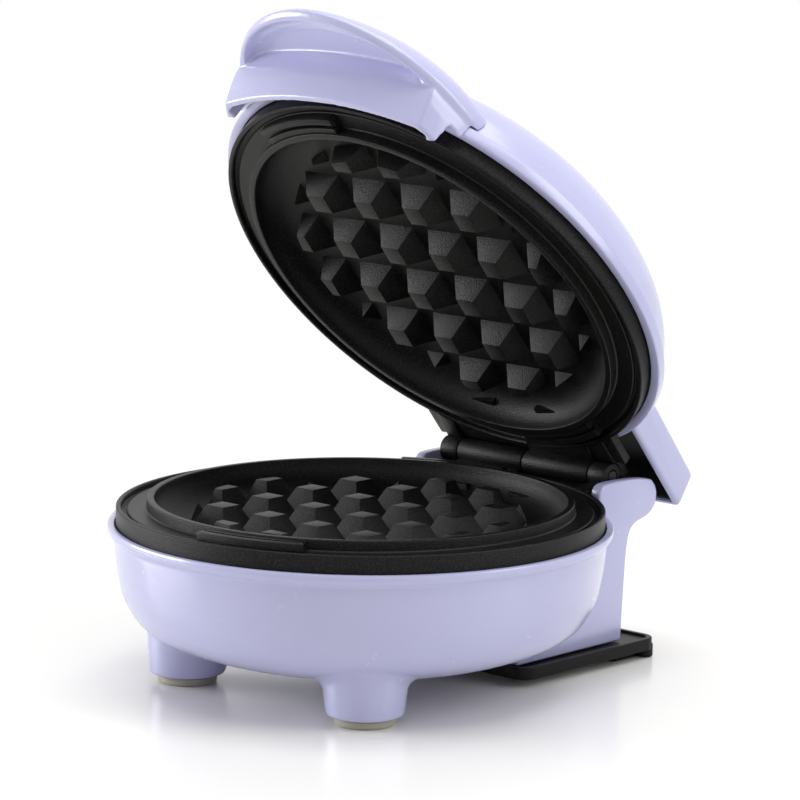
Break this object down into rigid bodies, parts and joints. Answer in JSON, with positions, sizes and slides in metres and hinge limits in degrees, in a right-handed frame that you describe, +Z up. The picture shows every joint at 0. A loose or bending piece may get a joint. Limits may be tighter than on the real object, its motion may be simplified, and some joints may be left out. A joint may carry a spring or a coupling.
{
  "type": "mini waffle maker",
  "caption": "Compact round waffle maker with a hinged domed lid, a visor handle, studded cast cooking plates, a bowl-shaped base on front legs and a flat rear stand.",
  "frame": {"origin": "on the floor under the middle of the box of the maker at rest, its lid standing open", "axes": "+X to the right and +Y to the back as seen from the handle's side, +Z up; the hinge lies along X at the back"},
  "size_m": [0.1272, 0.153, 0.1693],
  "materials": {
    "lilac_plastic": "glossy, moulded",
    "non_stick_casting": "black non-stick coating, finely grained",
    "black_plastic": "satin",
    "pad_rubber": "translucent, soft",
    "steel": "zinc plated",
    "reflector_sheet": "rolled sheet",
    "element_sheath": "dark oxidised tube",
    "ceramic": "unglazed",
    "clear_blue": "clear, polished"
  },
  "bodies": {
    "base": {"lower_housing": "lilac_plastic", "lower_plate": "non_stick_casting", "lower_heating_element": "element_sheath", "lower_heat_reflector": "reflector_sheet", "thermostat": "ceramic", "thermal_fuse": "steel", "terminal_block": "ceramic", "cord_gland": "black_plastic", "rear_stand": "black_plastic", "hinge_pin": "steel", "lower_plate_screw_1": "steel", "lower_plate_screw_2": "steel", "lower_plate_screw_3": "steel", "lower_plate_screw_4": "steel", "foot_pad_left": "pad_rubber", "foot_pad_right": "pad_rubber", "stand_screw_left": "steel", "stand_screw_right": "steel"},
    "lid": {"lid_shell": "lilac_plastic", "lid_handle": "lilac_plastic", "upper_plate": "non_stick_casting", "upper_heating_element": "element_sheath", "upper_heat_reflector": "reflector_sheet", "indicator_lens": "clear_blue", "indicator_lamp": "ceramic", "reflector_screw_1": "steel", "reflector_screw_2": "steel", "reflector_screw_3": "steel", "reflector_screw_4": "steel", "hood_screw_left": "steel", "hood_screw_right": "steel", "handle_screw_left": "steel", "handle_screw_right": "steel"}
  },
  "joints": [
    {"name": "lid_hinge", "type": "hinge", "parent": "base", "child": "lid", "pos_m": [0, 0.05081, 0.0473], "axis": [-1, 0, 0], "range_deg": [-50.24, 50]}
  ]
}
